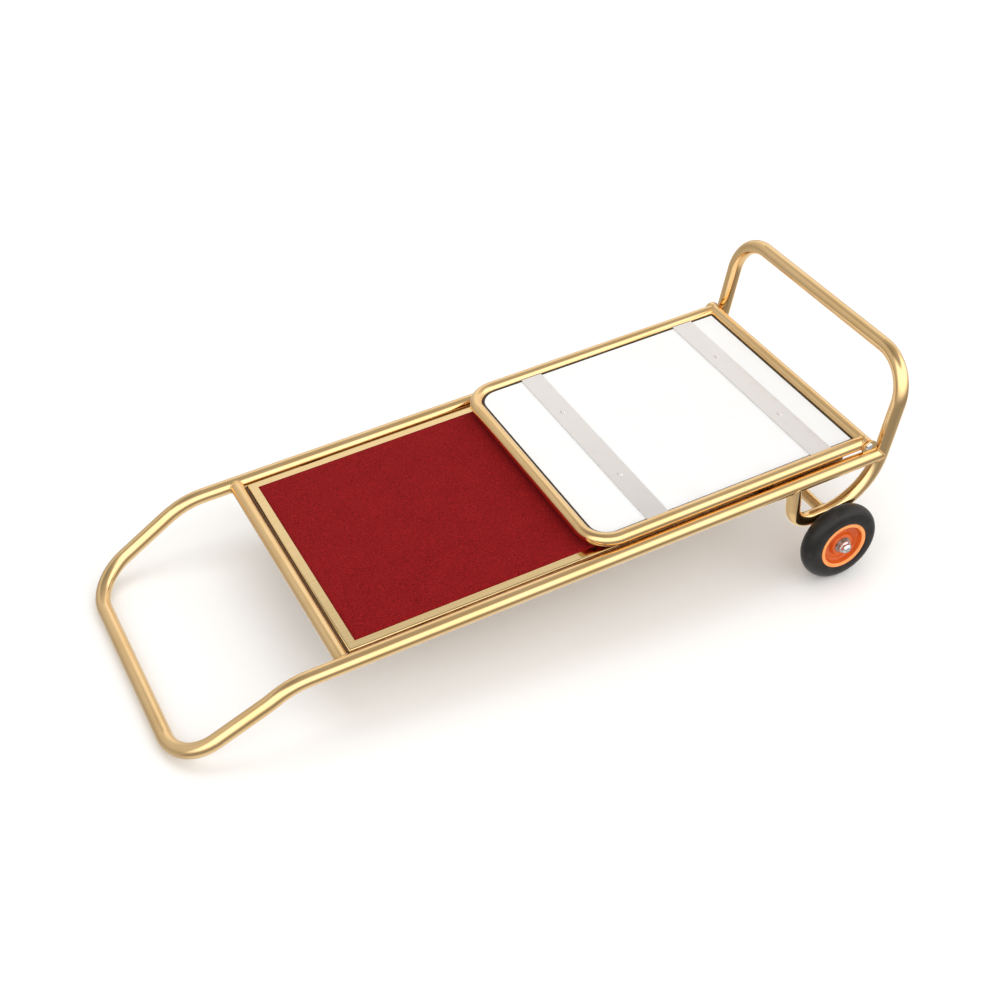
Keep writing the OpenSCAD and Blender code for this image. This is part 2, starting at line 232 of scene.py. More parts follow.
class Surface(Graph):
    """The graph of one material, with its Principled shader."""

    def __init__(self, name: str) -> None:
        """Make a material with an empty graph round one Principled shader.

        Args:
            name: The material's name.
        """
        self.material = bpy.data.materials.new(name)
        self.material.use_nodes = True
        super().__init__(self.material.node_tree)
        self.shader = self.tree.nodes["Principled BSDF"]
        self.place = self.node("ShaderNodeTexCoord").outputs["Object"]

    def set(self, **inputs: Any) -> None:
        """Feed the Principled shader; underscores in a name stand for spaces.

        Args:
            **inputs: Socket name to what it is given.
        """
        for name, given in inputs.items():
            self.feed(self.shader.inputs[name.replace("_", " ")], given)

    def noise(
        self, scale: float, detail: float = 3.0, roughness: float = 0.5, stretch: Point = EVEN
    ) -> Value:
        """Fractal noise in object space.

        Args:
            scale: Features per metre.
            detail: Octaves of detail.
            roughness: How strong the finer octaves are.
            stretch: How many times each axis is compressed first.

        Returns:
            The noise, centred on about 0.5.
        """
        where = self.place
        if stretch != EVEN:
            where = self.node(
                "ShaderNodeMapping", {}, {"Vector": self.place, "Scale": stretch}
            ).outputs["Vector"]
        node = self.node(
            "ShaderNodeTexNoise",
            {},
            {"Vector": where, "Scale": scale, "Detail": detail, "Roughness": roughness},
        )
        return Value(self, node.outputs["Fac"])

    def bump(self, height: Value, depth: float, strength: float = 1.0) -> None:
        """Put a bump into the shader's normal.

        Args:
            height: The height, from 0 to 1.
            depth: What a height of 1 stands for, in metres.
            strength: How much of the bump is used.
        """
        node = self.node(
            "ShaderNodeBump", {}, {"Height": height, "Distance": depth, "Strength": strength}
        )
        self.set(Normal=node.outputs["Normal"])


# Finishes


def shaded(colour: Colour, share: float) -> Colour:
    """A colour darkened to a share of itself."""
    return tuple(part * share for part in colour)


class Finish:
    """A finish whose material is made once and shared by its pieces."""

    name: str

    def build(self) -> bpy.types.Material:
        """Make the material.

        Returns:
            The finished material.
        """
        surface = Surface(self.name)
        self.paint(surface)
        log.info("mixed %s", self.name)
        return surface.material

    def paint(self, g: Surface) -> None:
        """Set up the material's graph.

        Args:
            g: The new material's graph.
        """
        raise NotImplementedError


@dataclass(frozen=True)
class PatchyFinish(Finish):
    """A finish whose colour, roughness and height all follow one field of patches."""

    name: str
    colour: Colour
    patch: Colour
    patches: Point
    span: tuple[float, float]
    metallic: float
    roughness: tuple[float, float]
    bumps: tuple[float, float]

    def paint(self, g: Surface) -> None:
        """Patches of a second colour, rougher where they are high."""
        patch_field = g.noise(*self.patches)
        smooth, rougher = self.roughness
        g.set(
            Base_Color=g.mix(patch_field.ramp(*self.span), self.colour, self.patch),
            Metallic=self.metallic,
            Roughness=smooth + patch_field * rougher,
        )
        g.bump(patch_field, *self.bumps)


# The plated bead of a weld: the tube's gold, a little duller, with darker hollows
GOLD_WELD = PatchyFinish(
    "gold_weld", colour=(0.55, 0.36, 0.16), patch=(0.74, 0.52, 0.25), patches=(700.0, 3.0, 0.6),
    span=(0.35, 0.65), metallic=1.0, roughness=(0.22, 0.20), bumps=(0.0003, 0.6),
)
# The trim's outer wall, painted dark brown with darker patches as painted shade in the narrow gap
TRIM_WALL_PAINTED_SHADE = PatchyFinish(
    "gold_trim_wall", colour=(0.36, 0.175, 0.055), patch=(0.20, 0.085, 0.022),
    patches=(70.0, 4.0, 0.6), span=(0.35, 0.70), metallic=0.6,
    roughness=(0.35, 0.20), bumps=(0.0001, 0.3),
)
# Bright plated fasteners with a little tarnish
BRIGHT_STEEL = PatchyFinish(
    "bright_steel", colour=(0.80, 0.80, 0.81), patch=(0.62, 0.60, 0.57), patches=(240.0, 4.0, 0.6),
    span=(0.45, 0.80), metallic=1.0, roughness=(0.12, 0.12), bumps=(0.00005, 0.4),
)
# A zinc bearing shell with a film of old grease
BEARING_SHELL = PatchyFinish(
    "bearing_shell", colour=(0.52, 0.44, 0.41), patch=(0.20, 0.115, 0.080),
    patches=(120.0, 4.0, 0.65), span=(0.40, 0.70), metallic=0.75,
    roughness=(0.32, 0.15), bumps=(0.0002, 0.4),
)
# Matt black nylon with a fine skin
BLACK_BUSH = PatchyFinish(
    "black_bush", colour=(0.022, 0.022, 0.022), patch=(0.04, 0.04, 0.04), patches=(800.0, 3.0, 0.6),
    span=(0.40, 0.70), metallic=0.0, roughness=(0.40, 0.20), bumps=(0.0001, 0.3),
)
# Dark brown painted shade for the gap between the cross bar and the back panel's trim
BROWN_GAP_SHADE = replace(
    BLACK_BUSH, name="brown_felt", colour=(0.085, 0.040, 0.012), patch=(0.140, 0.070, 0.024)
)


@dataclass(frozen=True)
class GoldTubeFinish(Finish):
    """Polished and lacquered gold plating on tube."""

    name: str = "gold_tube"
    colour: Colour = (0.885, 0.615, 0.310)
    deep: Colour = (0.830, 0.555, 0.255)
    roughness: float = 0.120

    def paint(self, g: Surface) -> None:
        """Slightly uneven plating under a clear coat."""
        cloud = g.noise(9.0, 4.0, 0.6)
        smear = g.noise(60.0, 3.0, 0.6)
        grain = g.noise(900.0, 2.0, 0.5)
        g.set(
            Base_Color=g.mix(cloud.ramp(0.35, 0.7), self.colour, self.deep),
            Metallic=1.0,
            Roughness=self.roughness + (smear - 0.5) * 0.08 + (grain - 0.5) * 0.05,
            Coat_Weight=0.12,
            Coat_Roughness=0.05,
        )
        g.bump(smear * 0.7 + grain * 0.3, 0.00006, 0.4)


@dataclass(frozen=True)
class GoldTrimFinish(Finish):
    """Rolled and lacquered gold angle strip."""

    name: str = "gold_trim"
    colour: Colour = (0.80, 0.585, 0.285)
    pale: Colour = (0.85, 0.640, 0.340)

    def paint(self, g: Surface) -> None:
        """Faint rolling lines and small scuffs."""
        rolling = g.noise(500.0, 2.0, 0.5, (0.03, 1.0, 1.0))
        scuff = g.noise(140.0, 5.0, 0.7)
        g.set(
            Base_Color=g.mix(rolling.ramp(0.3, 0.7), self.colour, self.pale),
            Metallic=1.0,
            Roughness=0.14 + (rolling - 0.5) * 0.05 + scuff.ramp(0.55, 0.8) * 0.10,
        )
        g.bump(rolling * 0.5 + scuff * 0.5, 0.00005, 0.4)


@dataclass(frozen=True)
class CarpetFinish(Finish):
    """Short dense red pile."""

    name: str = "red_carpet"
    # The deep colour is painted shade down in the pile and the paler top colour is painted light on
    # the tufts; the middle one is the carpet's own red
    deep: Colour = (0.105, 0.0025, 0.0035)
    body: Colour = (0.225, 0.0065, 0.0080)
    tip: Colour = (0.360, 0.0160, 0.0180)

    def paint(self, g: Surface) -> None:
        """Speckled tufts, painted dark as shade where the bump is low and pale as painted light
        where it is high, broad patches of painted sheen where the pile lies differently, and fibre
        bump.
        """
        lie_sheen = g.noise(26.0, 4.0, 0.6)
        tuft = g.noise(430.0, 3.0, 0.7)
        fibre = g.noise(1500.0, 2.0, 0.6)
        # Low tufts are painted towards the deep colour as shade in the pile, high ones towards the
        # paler colour as painted light on their tops
        pile_shade_mask = tuft * 0.7 + fibre * 0.3
        shade = g.mix(pile_shade_mask.ramp(0.36, 0.52), self.deep, self.body)
        shade = g.mix(pile_shade_mask.ramp(0.52, 0.68), shade, self.tip)
        # Broad patches pale towards the top colour: painted sheen where the pile lies differently
        shade = g.mix(lie_sheen.ramp(0.35, 0.75) * 0.12, shade, self.tip)
        g.set(
            Base_Color=shade,
            Roughness=0.92 + (fibre - 0.5) * 0.1,
            Specular_IOR_Level=0.08,
            Sheen_Weight=0.06,
            Sheen_Roughness=0.45,
            Sheen_Tint=(0.95, 0.30, 0.28),
        )
        g.bump(tuft * 0.6 + fibre * 0.4, 0.0014, 0.9)


@dataclass(frozen=True)
class WhiteBoardFinish(Finish):
    """Smooth white laminate."""

    name: str = "white_board"
    colour: Colour = (0.800, 0.805, 0.808)
    warm: Colour = (0.780, 0.782, 0.775)

    def paint(self, g: Surface) -> None:
        """A hair of orange peel, faint handling marks and scuffs."""
        mark = g.noise(14.0, 5.0, 0.65)
        peel = g.noise(420.0, 2.0, 0.4)
        scuff = g.noise(90.0, 6.0, 0.75)
        g.set(
            Base_Color=g.mix(mark.ramp(0.45, 0.85), self.colour, self.warm),
            Roughness=0.30 + (mark - 0.5) * 0.08 + scuff.ramp(0.6, 0.8) * 0.12,
            Specular_IOR_Level=0.45,
        )
        g.bump(peel, 0.00008, 0.3)


@dataclass(frozen=True)
class BareBoardFinish(Finish):
    """The bare plywood back of the panel."""

    name: str = "panel_wood"
    light: Colour = (0.58, 0.47, 0.35)
    dark: Colour = (0.40, 0.30, 0.20)

    def paint(self, g: Surface) -> None:
        """Long grain with pores."""
        wander = g.noise(3.0, 2.0, 0.5)
        grain = g.noise(60.0, 5.0, 0.65, (0.06, 1.0, 1.0))
        pore = g.noise(900.0, 3.0, 0.6, (0.05, 1.0, 1.0))
        g.set(
            Base_Color=g.mix((grain * 0.7 + wander * 0.3).ramp(0.38, 0.62), self.dark, self.light),
            Roughness=0.62 + (grain - 0.5) * 0.2,
        )
        g.bump(grain * 0.5 + pore * 0.5, 0.0003, 0.5)


@dataclass(frozen=True)
class SteelFinish(Finish):
    """Plain steel strip, polished or satin."""

    name: str = "plain_steel"
    colour: Colour = (0.74, 0.71, 0.69)
    roughness: float = 0.12

    def paint(self, g: Surface) -> None:
        """Fine drawn lines and a few rub marks."""
        drawn = g.noise(1500.0, 2.0, 0.5, (1.0, 0.02, 1.0))
        rub = g.noise(45.0, 5.0, 0.7)
        g.set(
            Base_Color=g.mix(rub.ramp(0.4, 0.8), self.colour, shaded(self.colour, 0.97)),
            Metallic=1.0,
            Roughness=self.roughness + (drawn - 0.5) * 0.05 + rub.ramp(0.55, 0.85) * 0.05,
        )
        g.bump(drawn, 0.00002, 0.2)


@dataclass(frozen=True)
class TyreFinish(Finish):
    """Moulded black rubber."""

    name: str = "tyre"
    colour: Colour = (0.0125, 0.0115, 0.0105)
    worn: Colour = (0.026, 0.024, 0.022)

    def paint(self, g: Surface) -> None:
        """Matt rubber with dust in its skin."""
        dust = g.noise(55.0, 5.0, 0.65)
        skin = g.noise(1400.0, 3.0, 0.6)
        g.set(
            Base_Color=g.mix(dust.ramp(0.45, 0.75), self.colour, self.worn),
            Roughness=0.42 + (dust - 0.5) * 0.25,
            Specular_IOR_Level=0.30,
        )
        g.bump(skin, 0.00012, 0.4)


@dataclass(frozen=True)
class RimFinish(Finish):
    """Orange moulded plastic."""

    name: str = "orange_rim"
    colour: Colour = (0.92, 0.215, 0.020)
    shade: Colour = (0.82, 0.150, 0.010)
    roughness: float = 0.34

    def paint(self, g: Surface) -> None:
        """Satin moulding skin with flow marks."""
        flow = g.noise(35.0, 4.0, 0.6)
        skin = g.noise(1100.0, 2.0, 0.5)
        g.set(
            Base_Color=g.mix(flow.ramp(0.35, 0.75), self.colour, self.shade),
            Roughness=self.roughness + (flow - 0.5) * 0.15,
            Coat_Weight=0.2,
            Coat_Roughness=0.2,
        )
        g.bump(skin, 0.0001, 0.3)


@dataclass(frozen=True)
class EdgeBandFinish(Finish):
    """A dark band at the board's edge: painted contact shadow where the board meets the tubes."""

    name: str = "edge_band"
    colour: Colour = (0.030, 0.023, 0.014)
    rubbed: Colour = (0.075, 0.058, 0.036)

    def paint(self, g: Surface) -> None:
        """Satin brown-black painted shadow, paler in places."""
        rub = g.noise(85.0, 5.0, 0.65)
        skin = g.noise(900.0, 2.0, 0.5)
        g.set(
            Base_Color=g.mix(rub.ramp(0.42, 0.75), self.colour, self.rubbed),
            Roughness=0.45 + (rub - 0.5) * 0.2,
            Specular_IOR_Level=0.25,
        )
        g.bump(skin, 0.0001, 0.3)


@dataclass(frozen=True)
class FloorFinish(Finish):
    """A plain pale studio floor."""

    name: str = "studio_floor"
    colour: Colour = (0.93, 0.93, 0.925)

    def paint(self, g: Surface) -> None:
        """An even matt white."""
        tone = g.noise(0.8, 2.0, 0.5)
        g.set(
            Base_Color=g.mix(tone.ramp(0.3, 0.8), self.colour, shaded(self.colour, 0.99)),
            Roughness=0.9,
            Specular_IOR_Level=0.1,
        )


# Mesh making


def add_object(
    name: str, mesh: bpy.types.Mesh, material: bpy.types.Material, smooth: bool = True
) -> bpy.types.Object:
    """Link a mesh into the scene with its material.

    Args:
        name: The piece's name.
        mesh: The finished mesh.
        material: The piece's material.
        smooth: Whether the faces are shaded smooth.

    Returns:
        The new object.
    """
    mesh.materials.append(material)
    if smooth:
        mesh.shade_smooth()
    obj = bpy.data.objects.new(name, mesh)
    bpy.context.scene.collection.objects.link(obj)
    return obj


@contextmanager
def reworked(mesh: bpy.types.Mesh) -> Iterator[bmesh.types.BMesh]:
    """Open a mesh for rework; its faces are turned outwards when it closes.

    Args:
        mesh: The mesh to rework.

    Yields:
        The open mesh.
    """
    work = bmesh.new()
    work.from_mesh(mesh)
    yield work
    bmesh.ops.recalc_face_normals(work, faces=work.faces)
    work.to_mesh(mesh)
    work.free()


def grid_mesh(
    name: str, rows: Sequence[Sequence[Vector]], closed_rows: bool, closed_columns: bool
) -> bpy.types.Mesh:
    """Make a mesh of quads over a grid of points.

    Args:
        name: The mesh's name.
        rows: Rows of equally many points.
        closed_rows: Whether the last row joins the first.
        closed_columns: Whether each row's last point joins its first.

    Returns:
        The mesh.
    """
    across = len(rows[0])
    points = [point for row in rows for point in row]
    faces = []
    for i in range(len(rows) if closed_rows else len(rows) - 1):
        for j in range(across if closed_columns else across - 1):
            a, b = i * across, ((i + 1) % len(rows)) * across
            faces.append((a + j, a + (j + 1) % across, b + (j + 1) % across, b + j))
    mesh = bpy.data.meshes.new(name)
    mesh.from_pydata(points, [], faces)
    with reworked(mesh) as work:
        bmesh.ops.remove_doubles(work, verts=work.verts, dist=SAME_PLACE)
    mesh.update()
    return mesh


def rounded(profile: Sequence[Point], steps: int = 6) -> Outline:
    """Round the corners of a closed outline.

    Args:
        profile: Corners as (radius, height, corner radius).
        steps: Points on each rounded corner.

    Returns:
        The outline's points.
    """
    points = []
    count, under_half = len(profile), 0.49
    for i, (x, y, r) in enumerate(profile):
        here = Vector((x, y))
        if r <= 0:
            points.append((x, y))
            continue
        back = Vector(profile[i - 1][:2]) - here
        ahead = Vector(profile[(i + 1) % count][:2]) - here
        reach = min(r, back.length * under_half, ahead.length * under_half)
        start, end = here + back.normalized() * reach, here + ahead.normalized() * reach
        for k in range(steps + 1):
            t = k / steps
            point = start * (1 - t) ** 2 + here * 2 * t * (1 - t) + end * t ** 2
            points.append((point.x, point.y))
    return points


def skin_loops(name: str, loops: Sequence[Sequence[Vector]], closed: bool) -> bpy.types.Mesh:
    """Skin a run of equal closed loops into one closed mesh.

    Args:
        name: The mesh's name.
        loops: The sections, in order.
        closed: Whether the last section joins the first; else both ends are capped.

    Returns:
        The mesh.
    """
    mesh = grid_mesh(name, loops, closed, True)
    if not closed:
        with reworked(mesh) as work:
            ends = [edge for edge in work.edges if edge.is_boundary]
            bmesh.ops.holes_fill(work, edges=ends, sides=0)
    return mesh


MOUNT_ALONG, MOUNT_OUT = 750.0, 7.5  # the back_rest mount from the cart's own origin, in millimetres


@dataclass(frozen=True)
class RailFrame:
    """The cart's own axes as it lies: along the rails, to the left, and out of the back panel."""

    origin: Vector
    along: Vector
    out: Vector

    @classmethod
    def from_record(cls, record: Mapping[str, Any]) -> "RailFrame":
        """Find the axes from the back_rest mount.

        Args:
            record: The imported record.

        Returns:
            The cart's axes, with their origin where the rails meet the toe loop.
        """
        mount = next(m for m in record["mounts"] if m["name"] == "back_rest")
        out = Vector(mount["axis"]).normalized()
        along = Vector((out.z, 0.0, -out.x))
        origin = Vector(mount["pos_m"]) + along * MOUNT_ALONG * MM - out * MOUNT_OUT * MM
        return cls(origin, along, out)

    def point(self, x: float, y: float, z: float) -> Vector:
        """A point given in millimetres along the cart's own axes.

        Args:
            x: Distance towards the toe.
            y: Distance to the left.
            z: Distance out of the back panel.

        Returns:
            The point in the row frame, in metres.
        """
        return self.origin + self.along * x * MM + Vector((0, y * MM, 0)) + self.out * z * MM

    def direction(self, x: float, y: float, z: float) -> Vector:
        """A direction given along the cart's own axes, as a unit vector."""
        return (self.along * x + Vector((0, y, 0)) + self.out * z).normalized()


@dataclass(frozen=True)
class WeldBead:
    """The bead round the end of one tube where it meets the side of another."""

    name: str
    body: str
    meeting: Vector
    run: Vector
    run_radius: float
    wall_axis: Vector
    wall_radius: float
    bead: float = 1.7
    steps: int = 96
    ring: int = 8
    ripple: float = 0.14
    ripple_steps: int = 4
    lumps: float = 0.18
    lumps_per_metre: float = 300.0

    def centre_line(self) -> list[Vector]:
        """The closed saddle curve on which the two tubes' surfaces meet.

        Returns:
            Points on the curve, in metres.
        """
        run, wall = self.run.normalized(), self.wall_axis.normalized()
        side = run.cross(wall).normalized()
        other = side.cross(run).normalized()
        slant = run.dot(wall)
        points = []
        for k in range(self.steps):
            angle = 2 * math.pi * k / self.steps
            spoke = (side * math.cos(angle) + other * math.sin(angle)) * self.run_radius * MM
            flat_run = run - wall * slant
            flat_spoke = spoke - wall * spoke.dot(wall)
            a, b = flat_run.length_squared, flat_run.dot(flat_spoke)
            c = flat_spoke.length_squared - (self.wall_radius * MM) ** 2
            root = math.sqrt(max(b * b - a * c, 0.0))
            points.append(self.meeting + spoke + run * ((root - b) / a))
        return points

    def build(self, material: bpy.types.Material) -> bpy.types.Object:
        """Make the bead with the ripples of a hand weld.

        Args:
            material: The bead's material.

        Returns:
            The bead, riding on its body.
        """
        line = self.centre_line()
        rows = []
        for k, point in enumerate(line):
            ahead = (line[(k + 1) % self.steps] - line[k - 1]).normalized()
            spoke = (point - self.meeting).normalized()
            first = ahead.cross(spoke).normalized()
            second = first.cross(ahead).normalized()
            ripple = self.ripple * math.sin(2 * math.pi * k / self.ripple_steps)
            lump = self.lumps * (noise.noise(point * self.lumps_per_metre) - 0.2)
            radius = self.bead * MM * (1 + ripple + lump)
            turns = (2 * math.pi * j / self.ring for j in range(self.ring))
            rows.append(
                [point + first * radius * math.cos(t) + second * radius * math.sin(t) for t in turns]
            )
        piece = add_object(self.name, grid_mesh(self.name, rows, True, True), material)
        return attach(piece, self.body)


def lathe(
    name: str,
    profile: Outline,
    centre: Vector,
    axis: Vector,
    material: bpy.types.Material,
    segments: int = 128,
) -> bpy.types.Object:
    """Turn a closed outline round an axis.

    Args:
        name: The piece's name.
        profile: Points as (radius, distance along the axis), in millimetres.
        centre: The point on the axis that distances are counted from.
        axis: The axis, which points to the left.
        material: The piece's material.
        segments: Steps round the axis.

    Returns:
        The turned piece.
    """
    axis = axis.normalized()
    first = axis.orthogonal().normalized()
    second = axis.cross(first)
    rows = []
    for k in range(segments):
        angle = 2 * math.pi * k / segments
        spoke = first * math.cos(angle) + second * math.sin(angle)
        rows.append([centre + spoke * r * MM + axis * h * MM for r, h in profile])
    return add_object(name, grid_mesh(name, rows, True, True), material)


# The pieces


@dataclass
class CartSizes:
    """Places and radii of the tubes that the welds follow, in millimetres."""

    rail_y: float = 237.0
    rail_r: float = 12.5
    bar_x: float = -952.0
    bar_r: float = 11.0
    heel_back: float = 169.0
    heel_depth: float = 83.0
    heel_tube_x: float = -105.0
    heel_tube_r: float = 9.5
    loop_lean: float = 15.0
    platform_y: float = 224.0
    platform_r: float = 11.0
    hinge_x: float = -27.0
    hinge_z: float = 24.0


def dress(node: str, material: bpy.types.Material) -> None:
    """Give a CAD node its material.

    Args:
        node: The node's name.
        material: The material for all of it.
    """
    mesh = frame["nodes"][node].data
    mesh.materials.clear()
    mesh.materials.append(material)
    log.info("dressed %s in %s", node, material.name)


@dataclass
class TubeFrame:
    """The gold tubes that don't move, with their brackets, ears and welds."""

    rails: RailFrame
    gold: bpy.types.Material
    weld: bpy.types.Material
    sizes: CartSizes = field(default_factory=CartSizes)

    def build(self) -> None:
        """Dress the tubes and lay the weld beads."""
        for node in ("main_frame", "cross_bar", "toe_loop", "heel_tube"):
            dress(node, self.gold)
        for side in Side:
            dress(f"axle_bracket_{side.word}", self.gold)
            dress(f"hinge_ear_{side.word}", self.gold)
            for bead in self.beads(side):
                bead.build(self.weld)
                log.info("laid %s", bead.name)

    def beads(self, side: Side) -> list[WeldBead]:
        """The beads on one side of the cart.

        Args:
            side: The side of the cart.

        Returns:
            The beads, not yet built.
        """
        s, sign, rails = self.sizes, side.value, self.rails
        y = sign * s.rail_y
        lean = math.radians(s.loop_lean)
        along, across = rails.direction(1, 0, 0), rails.direction(0, 1, 0)
        leg = rails.direction(math.sin(lean), 0, math.cos(lean))
        inwards, down = across * -sign, rails.direction(0, 0, -1)
        bar_end, heel_end = rails.point(s.bar_x, y, 0), rails.point(-s.heel_back, y, 0)
        toe, tube_end = rails.point(0, y, 0), rails.point(s.heel_tube_x, y, -s.heel_depth)
        meetings = [
            ("cross_bar", bar_end, inwards, s.bar_r, along),
            ("heel_end", heel_end, down, s.rail_r, along),
            ("toe", toe, along * -1, s.rail_r, leg),
            ("heel_tube", tube_end, inwards, s.heel_tube_r, along),
        ]
        return [
            WeldBead(f"weld_{place}_{side.word}", "cart", meeting, run, run_r, wall, s.rail_r)
            for place, meeting, run, run_r, wall in meetings
        ]


def extents_of(node: str, rails: RailFrame) -> tuple[Vector, Vector]:
    """A CAD node's lowest and highest corner along the cart's own axes, in metres.

    Args:
        node: The node's name.
        rails: The cart's axes.

    Returns:
        The two corners.
    """
    seen = [vertex.co - rails.origin for vertex in frame["nodes"][node].data.vertices]
    local = [(p.dot(rails.along), p.y, p.dot(rails.out)) for p in seen]
    low = Vector(tuple(min(p[axis] for p in local) for axis in range(3)))
    high = Vector(tuple(max(p[axis] for p in local) for axis in range(3)))
    return low, high


@dataclass
class Carpet:
    """A slab of short pile carpet that stands for one CAD slab; its sizes are in millimetres."""

    name: str
    node: str
    body: str
    rails: RailFrame
    finish: bpy.types.Material
    rests_on: str
    faces_out: bool
    step: float = 3.0
    edge: float = 2.0
    edge_share: float = 0.45
    tuft_depth: float = 0.35
    tufts_per_metre: float = 420.0

    def build(self) -> bpy.types.Object:
        """Make the pile: a fine field of tufts that rounds off at the edges.

        Returns:
            The carpet, riding on its body and standing for its CAD slab.
        """
        low, high = extents_of(self.node, self.rails)
        step, edge = self.step * MM, self.edge * MM
        columns = max(2, round((high.x - low.x) / step))
        lines = max(2, round((high.y - low.y) / step))
        thick = high.z - low.z
        top = []
        for i in range(columns + 1):
            x = low.x + (high.x - low.x) * i / columns
            row = []
            for j in range(lines + 1):
                y = low.y + (high.y - low.y) * j / lines
                inside = min(x - low.x, high.x - x, y - low.y, high.y - y)
                depth = min(max(inside / edge, 0.0), 1.0)
                roll = math.sqrt(1 - (1 - depth) ** 2)
                tuft = 0.5 + 0.5 * noise.noise(Vector((x, y, 0.0)) * self.tufts_per_metre)
                pile = self.edge_share + (1 - self.edge_share) * roll
                height = thick * pile - tuft * self.tuft_depth * MM * depth
                row.append((x, y, height))
            top.append(row)
        base_z, sign = (low.z, 1.0) if self.faces_out else (high.z, -1.0)
        rail = self.rails
        rows = [
            [rail.point(x / MM, y / MM, (base_z + sign * h) / MM) for x, y, h in row] for row in top
        ]
        mesh = grid_mesh(self.name, rows, False, False)
        piece = self.closed(mesh, base_z)
        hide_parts(self.node)
        log.info("laid %s", self.name)
        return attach(piece, self.body)

    def closed(self, mesh: bpy.types.Mesh, base_z: float) -> bpy.types.Object:
        """Close the pile with sides and an underside.

        Args:
            mesh: The pile's surface.
            base_z: The height of the underside.

        Returns:
            The closed carpet.
        """
        with reworked(mesh) as work:
            rim = [edge for edge in work.edges if edge.is_boundary]
            made = bmesh.ops.extrude_edge_only(work, edges=rim)["geom"]
            for vert in (item for item in made if isinstance(item, bmesh.types.BMVert)):
                offset = (vert.co - self.rails.origin).dot(self.rails.out) - base_z
                vert.co -= self.rails.out * offset
            foot = [item for item in made if isinstance(item, bmesh.types.BMEdge)]
            bmesh.ops.contextual_create(work, geom=foot)
        return add_object(self.name, mesh, self.finish)


@dataclass
class BackTrim:
    """The rolled angle round the back panel: a flat face whose edge turns down over the board."""

    rails: RailFrame
    face: bpy.types.Material
    wall: bpy.types.Material
    face_w: float = 15.0
    sheet_t: float = 1.5
    turn_r: float = 2.6
    steps: int = 6

    def section(self, depth: float) -> Outline:
        """The angle's section.

        Args:
            depth: How far the outer wall reaches down, in millimetres.

        Returns:
            The closed outline, as distance in from the outer wall and height under the face.
        """
        turn = [math.pi / 2 * k / self.steps for k in range(self.steps + 1)]
        r, t = self.turn_r, self.sheet_t
        outer = [(r - r * math.cos(a), -r + r * math.sin(a)) for a in turn]
        inner = [(r - (r - t) * math.cos(a), -r + (r - t) * math.sin(a)) for a in reversed(turn)]
        face = [(self.face_w, 0.0), (self.face_w, -t)]
        return [(0.0, -depth)] + outer + face + inner + [(t, -depth)]

    def build(self) -> bpy.types.Object:
        """Make the mitred frame of trim.

        Returns:
            The trim, riding on the cart and standing for its CAD node.
        """
        low, high = extents_of("back_trim", self.rails)
        section = self.section((high.z - low.z) / MM)
        corners = [
            (low.x, low.y, 1, 1), (high.x, low.y, -1, 1),
            (high.x, high.y, -1, -1), (low.x, high.y, 1, -1),
        ]
        loops = [
            [
                self.rails.point(x / MM + dx * inset, y / MM + dy * inset, high.z / MM + z)
                for inset, z in section
            ]
            for x, y, dx, dy in corners
        ]
        mesh = skin_loops("trim_rolled", loops, closed=True)
        piece = add_object("trim_rolled", mesh, self.face, smooth=False)
        # Faces of the outer wall below the turn take the second material, dark brown painted shade
        # for the narrow gap
        mesh.materials.append(self.wall)
        for polygon in mesh.polygons:
            rise = (polygon.center - self.rails.origin).dot(self.rails.out) - high.z
            upright = abs(polygon.normal.dot(self.rails.out)) < 0.2
            polygon.material_index = 1 if upright and rise < -self.turn_r * MM else 0
            polygon.use_smooth = -self.turn_r * MM < rise < 0
        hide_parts("back_trim")
        log.info("rolled %s", piece.name)
        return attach(piece, "cart")


@dataclass
class FeltStrip:
    """A dark strip that fills the gap between the cross bar and the back panel's trim: painted shade
    in the gap.
    """

    rails: RailFrame
    material: bpy.types.Material
    thick: float = 3.4
    top_down: float = 2.8
    deep: float = 8.5
    chamfer: float = 0.8
    trim_gap: float = 0.05
    wave: float = 0.5
    waves_per_mm: float = 0.08
    columns: int = 160

    def build(self) -> bpy.types.Object:
        """Make the strip with its slightly uneven top.

        Returns:
            The strip, riding on the cart.
        """
        low, high = (corner / MM for corner in extents_of("back_trim", self.rails))
        loops = []
        for k in range(self.columns + 1):
            y = low.y + (high.y - low.y) * k / self.columns
            wave = self.wave * noise.noise(Vector((y * self.waves_per_mm, 0.0, 0.0)))
            top, bottom = high.z - self.top_down + wave, high.z - self.deep
            x0, x1, cut = low.x - self.thick, low.x - self.trim_gap, self.chamfer
            outline = [
                (x0, bottom), (x0, top - cut), (x0 + cut, top),
                (x1 - cut, top), (x1, top - cut), (x1, bottom),
            ]
            loops.append([self.rails.point(x, y, z) for x, z in outline])
        mesh = skin_loops("felt_strip", loops, closed=False)
        piece = add_object("felt_strip", mesh, self.material, smooth=False)
        log.info("laid the felt strip")
        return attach(piece, "cart")


